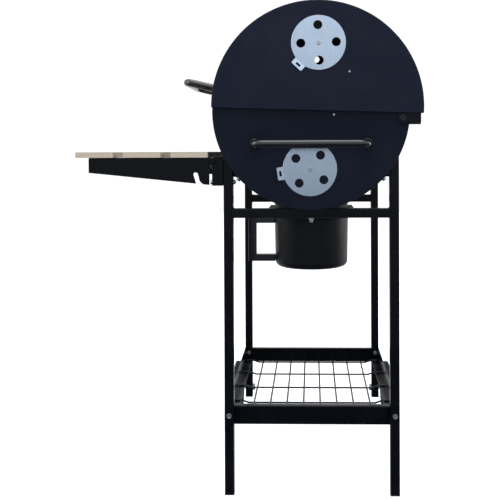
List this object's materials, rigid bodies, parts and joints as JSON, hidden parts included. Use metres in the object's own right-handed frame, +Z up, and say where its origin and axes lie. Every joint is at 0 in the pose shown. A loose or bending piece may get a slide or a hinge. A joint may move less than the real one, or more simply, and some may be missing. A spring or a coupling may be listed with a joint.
{
  "type": "barrel charcoal grill",
  "caption": "Horizontal barrel charcoal grill with a hinged lid, end vents, ash bucket, folding slatted front shelf and a wheeled square-tube cart with a wire shelf.",
  "frame": {"origin": "on the floor, under the middle of the grill's bounding box at rest", "axes": "+X towards the right end with the side handle, +Y to the rear where the lid hinges, +Z up; the barrel lies along X and the shelf is at -Y"},
  "size_m": [0.661, 0.7285, 1.04],
  "materials": {
    "frame_black": "semi-gloss powder coat",
    "wire_black": "semi-gloss powder coat",
    "barrel_black": "satin heat-proof paint",
    "end_plate_black": "satin heat-proof paint",
    "vent_steel": "satin plated sheet",
    "handle_gloss": "gloss enamel",
    "zinc": "bright zinc plate",
    "black_plastic": "matt moulded",
    "tyre_rubber": "matt rubber",
    "wood": "raw planed softwood",
    "bucket_black": "satin enamel",
    "chrome_wire": "plated wire",
    "grate_steel": "dull heat-darkened steel"
  },
  "bodies": {
    "cart": {"leg_right_front": "frame_black", "leg_right_rear": "frame_black", "leg_left_front": "frame_black", "leg_left_rear": "frame_black", "leg_caps": "black_plastic", "crossbar_right": "frame_black", "crossbar_left": "frame_black", "bowl_saddles": "frame_black", "tray_panel_right": "frame_black", "tray_panel_left": "frame_black", "tray_rail_front": "frame_black", "tray_rail_rear": "frame_black", "wire_shelf": "wire_black", "tray_bolts": "zinc", "bowl_bolts": "zinc", "axle": "zinc", "axle_caps": "black_plastic", "bowl_shell": "barrel_black", "bowl_plate_right": "end_plate_black", "bowl_plate_left": "end_plate_black", "bowl_vent_bolts": "zinc", "side_handle": "handle_gloss", "side_handle_nuts": "zinc", "hinge_bolts": "zinc", "grate_ledges": "barrel_black", "ash_neck": "barrel_black", "shelf_bracket_right": "frame_black", "shelf_bracket_left": "frame_black", "bracket_bolts": "zinc", "shelf_pivot_bolts": "frame_black"},
    "lid": {"lid_shell": "barrel_black", "lid_plate_right": "end_plate_black", "lid_plate_left": "end_plate_black", "lid_vent_bolts": "zinc", "hinge_bracket_right": "frame_black", "hinge_bracket_left": "frame_black", "lid_handle": "handle_gloss", "lid_handle_nuts": "zinc"},
    "lid_vent_right": {"lid_vent_right": "vent_steel"},
    "lid_vent_left": {"lid_vent_left": "vent_steel"},
    "bowl_vent_right": {"bowl_vent_right": "vent_steel"},
    "bowl_vent_left": {"bowl_vent_left": "vent_steel"},
    "warming_rack": {"warming_rack": "chrome_wire"},
    "rack_bail": {"rack_bail": "chrome_wire"},
    "shelf": {"shelf_arm_right": "frame_black", "shelf_arm_left": "frame_black", "slat_front": "wood", "slat_middle": "wood", "slat_rear": "wood", "slat_screws": "zinc"},
    "ash_bucket": {"ash_bucket": "bucket_black", "bucket_handle": "bucket_black"},
    "cooking_grate_right": {"cooking_grate_right": "chrome_wire"},
    "cooking_grate_left": {"cooking_grate_left": "chrome_wire"},
    "charcoal_grate": {"charcoal_grate": "grate_steel"},
    "wheel_front": {"tyre_front": "tyre_rubber", "wheel_hub_front": "black_plastic"},
    "wheel_rear": {"tyre_rear": "tyre_rubber", "wheel_hub_rear": "black_plastic"}
  },
  "joints": [
    {"name": "lid_hinge", "type": "hinge", "parent": "cart", "child": "lid", "pos_m": [-0.0105, 0.32075, 0.795], "axis": [-1, 0, 0], "range_deg": [0, 85]},
    {"name": "rack_turn", "type": "hinge", "parent": "lid", "child": "warming_rack", "pos_m": [-0.0105, 0.21075, 0.891], "axis": [-1, 0, 0], "range_deg": [-85, 0]},
    {"name": "bail_swing", "type": "hinge", "parent": "cart", "child": "rack_bail", "pos_m": [-0.0105, 0.17875, 0.803], "axis": [-1, 0, 0], "range_deg": [0, 85]},
    {"name": "lid_vent_right_turn", "type": "hinge", "parent": "lid", "child": "lid_vent_right", "pos_m": [0.2824, 0.14715, 0.951], "axis": [1, 0, 0], "range_deg": [0, 45]},
    {"name": "lid_vent_left_turn", "type": "hinge", "parent": "lid", "child": "lid_vent_left", "pos_m": [-0.3034, 0.14715, 0.951], "axis": [1, 0, 0], "range_deg": [0, 45]},
    {"name": "bowl_vent_right_turn", "type": "hinge", "parent": "cart", "child": "bowl_vent_right", "pos_m": [0.2704, 0.12835, 0.69], "axis": [-1, 0, 0], "range_deg": [0, 45]},
    {"name": "bowl_vent_left_turn", "type": "hinge", "parent": "cart", "child": "bowl_vent_left", "pos_m": [-0.2914, 0.12835, 0.69], "axis": [-1, 0, 0], "range_deg": [0, 45]},
    {"name": "shelf_fold", "type": "hinge", "parent": "cart", "child": "shelf", "pos_m": [-0.0105, -0.07625, 0.7055], "axis": [1, 0, 0], "range_deg": [0, 70]},
    {"name": "bucket_slide", "type": "slide", "parent": "cart", "child": "ash_bucket", "axis": [0, -1, 0], "range_m": [0, 0.09]},
    {"name": "cooking_grate_right_lift", "type": "slide", "parent": "cart", "child": "cooking_grate_right", "axis": [0, 0, 1], "range_m": [0, 0.02]},
    {"name": "cooking_grate_left_lift", "type": "slide", "parent": "cart", "child": "cooking_grate_left", "axis": [0, 0, 1], "range_m": [0, 0.02]},
    {"name": "charcoal_grate_lift", "type": "slide", "parent": "cart", "child": "charcoal_grate", "axis": [0, 0, 1], "range_m": [0, 0.03]},
    {"name": "wheel_front_spin", "type": "hinge", "parent": "cart", "child": "wheel_front", "pos_m": [-0.2605, -0.07325, 0.07], "axis": [0, 1, 0], "continuous": true},
    {"name": "wheel_rear_spin", "type": "hinge", "parent": "cart", "child": "wheel_rear", "pos_m": [-0.2605, 0.33475, 0.07], "axis": [0, 1, 0], "continuous": true}
  ],
  "couplings": [
    {"joint": "rack_turn", "follows": "lid_hinge", "ratio": -1},
    {"joint": "bail_swing", "follows": "lid_hinge", "ratio": 1}
  ]
}
